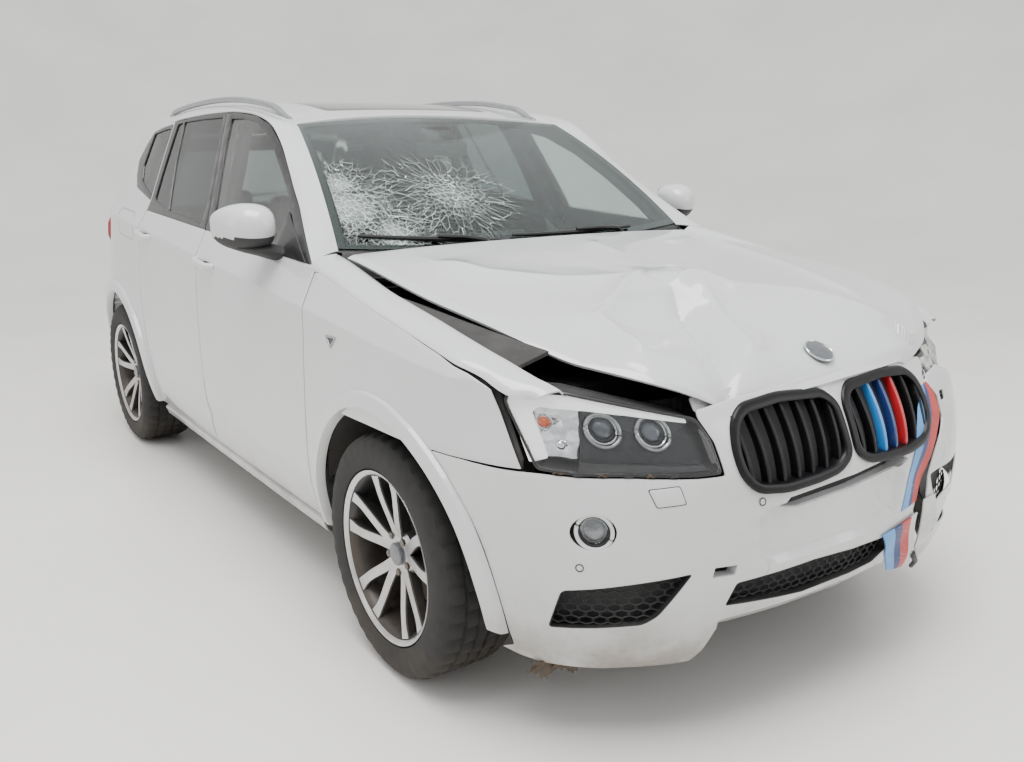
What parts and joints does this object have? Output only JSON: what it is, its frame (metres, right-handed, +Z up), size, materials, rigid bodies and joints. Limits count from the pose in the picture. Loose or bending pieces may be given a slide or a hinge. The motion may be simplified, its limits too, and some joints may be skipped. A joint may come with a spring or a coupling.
{
  "type": "crashed car",
  "caption": "White five-door sport utility car on its wheels with crumpled bonnet, torn bumper corner and shattered windscreen; doors, lids, wheels and steering move.",
  "frame": {"origin": "on the ground at the middle of the overall length and width", "axes": "+X to the car's left, front bumper towards -Y, +Z up"},
  "size_m": [2.098, 4.6492, 1.6837],
  "materials": {
    "white_paint": "gloss, dusty",
    "white_plastic": "gloss, dusty",
    "black_plastic": "satin",
    "dark_glass": "gloss",
    "clear_glass": "gloss",
    "lamp_lens": "gloss",
    "red_lens": "gloss",
    "satin_aluminium": "satin",
    "rim_alloy": "machined, brake dust",
    "tyre_rubber": "muddy tread",
    "seat_leather": "satin",
    "wheel_leather": "satin",
    "cast_metal": "rough",
    "underbody_paint": "matt",
    "exhaust_steel": "dull"
  },
  "bodies": {
    "body": {"underbody": "underbody_paint", "side_frame_left": "white_paint", "side_frame_right": "white_paint", "roof": "white_paint", "sunroof_glass": "dark_glass", "roof_rails": "satin_aluminium", "front_wing_left": "white_paint", "front_wing_right": "white_paint", "arch_trims": "white_plastic", "side_skirts": "white_plastic", "front_bumper": "white_plastic", "torn_bumper_corner": "white_plastic", "grilles": "black_plastic", "headlight_left": "lamp_lens", "headlight_right": "lamp_lens", "front_carrier": "black_plastic", "windscreen": "clear_glass", "cowl_and_wipers": "black_plastic", "engine": "cast_metal", "dashboard": "black_plastic", "front_seats": "seat_leather", "rear_seat": "seat_leather", "rear_bumper": "white_plastic", "tail_lights": "red_lens", "rear_quarter_glass": "dark_glass", "exhaust": "exhaust_steel", "front_subframe": "underbody_paint", "rear_subframe": "underbody_paint"},
    "bonnet": {"bonnet": "white_paint"},
    "front_door_left": {"front_door_left": "white_paint", "front_door_glass_left": "clear_glass", "mirror_left": "white_plastic"},
    "rear_door_left": {"rear_door_left": "white_paint", "rear_door_glass_left": "dark_glass"},
    "knuckle_left": {"knuckle_left": "cast_metal"},
    "wheel_front_left": {"wheel_front_left": "rim_alloy", "tyre_front_left": "tyre_rubber"},
    "wheel_rear_left": {"wheel_rear_left": "rim_alloy", "tyre_rear_left": "tyre_rubber"},
    "front_door_right": {"front_door_right": "white_paint", "front_door_glass_right": "clear_glass", "mirror_right": "white_plastic"},
    "rear_door_right": {"rear_door_right": "white_paint", "rear_door_glass_right": "dark_glass"},
    "knuckle_right": {"knuckle_right": "cast_metal"},
    "wheel_front_right": {"wheel_front_right": "rim_alloy", "tyre_front_right": "tyre_rubber"},
    "wheel_rear_right": {"wheel_rear_right": "rim_alloy", "tyre_rear_right": "tyre_rubber"},
    "tailgate": {"tailgate": "white_paint", "tailgate_glass": "dark_glass"},
    "steering_wheel": {"steering_wheel": "wheel_leather"}
  },
  "joints": [
    {"name": "front_door_left", "type": "hinge", "parent": "body", "child": "front_door_left", "pos_m": [0.914, -0.95, 0.8], "axis": [0, 0, -1], "range_deg": [0, 65]},
    {"name": "rear_door_left", "type": "hinge", "parent": "body", "child": "rear_door_left", "pos_m": [0.918, 0.083, 0.8], "axis": [0, 0, -1], "range_deg": [0, 65]},
    {"name": "front_door_right", "type": "hinge", "parent": "body", "child": "front_door_right", "pos_m": [-0.914, -0.95, 0.8], "axis": [0, 0, 1], "range_deg": [0, 65]},
    {"name": "rear_door_right", "type": "hinge", "parent": "body", "child": "rear_door_right", "pos_m": [-0.918, 0.083, 0.8], "axis": [0, 0, 1], "range_deg": [0, 65]},
    {"name": "bonnet", "type": "hinge", "parent": "body", "child": "bonnet", "pos_m": [0, -1.01, 1.112], "axis": [-1, 0, 0], "range_deg": [0, 50]},
    {"name": "tailgate", "type": "hinge", "parent": "body", "child": "tailgate", "pos_m": [0, 1.893, 1.578], "axis": [1, 0, 0], "range_deg": [0, 80]},
    {"name": "steer_right", "type": "hinge", "parent": "body", "child": "knuckle_right", "pos_m": [-0.748, -1.464, 0.352], "axis": [0, 0, 1], "range_deg": [-35, 35]},
    {"name": "steer_left", "type": "hinge", "parent": "body", "child": "knuckle_left", "pos_m": [0.748, -1.464, 0.352], "axis": [0, 0, 1], "range_deg": [-35, 35]},
    {"name": "steering_wheel", "type": "hinge", "parent": "body", "child": "steering_wheel", "pos_m": [0.38, -0.545, 0.95], "axis": [0, 0.9063, 0.4226], "range_deg": [-560, 560]},
    {"name": "spin_front_left", "type": "hinge", "parent": "knuckle_left", "child": "wheel_front_left", "pos_m": [0.808, -1.464, 0.352], "axis": [1, 0, 0], "continuous": true},
    {"name": "spin_rear_left", "type": "hinge", "parent": "body", "child": "wheel_rear_left", "pos_m": [0.808, 1.346, 0.352], "axis": [1, 0, 0], "continuous": true},
    {"name": "spin_front_right", "type": "hinge", "parent": "knuckle_right", "child": "wheel_front_right", "pos_m": [-0.808, -1.464, 0.352], "axis": [1, 0, 0], "continuous": true},
    {"name": "spin_rear_right", "type": "hinge", "parent": "body", "child": "wheel_rear_right", "pos_m": [-0.808, 1.346, 0.352], "axis": [1, 0, 0], "continuous": true}
  ],
  "couplings": [
    {"joint": "steer_left", "follows": "steer_right", "ratio": 1},
    {"joint": "steering_wheel", "follows": "steer_right", "ratio": -16}
  ]
}
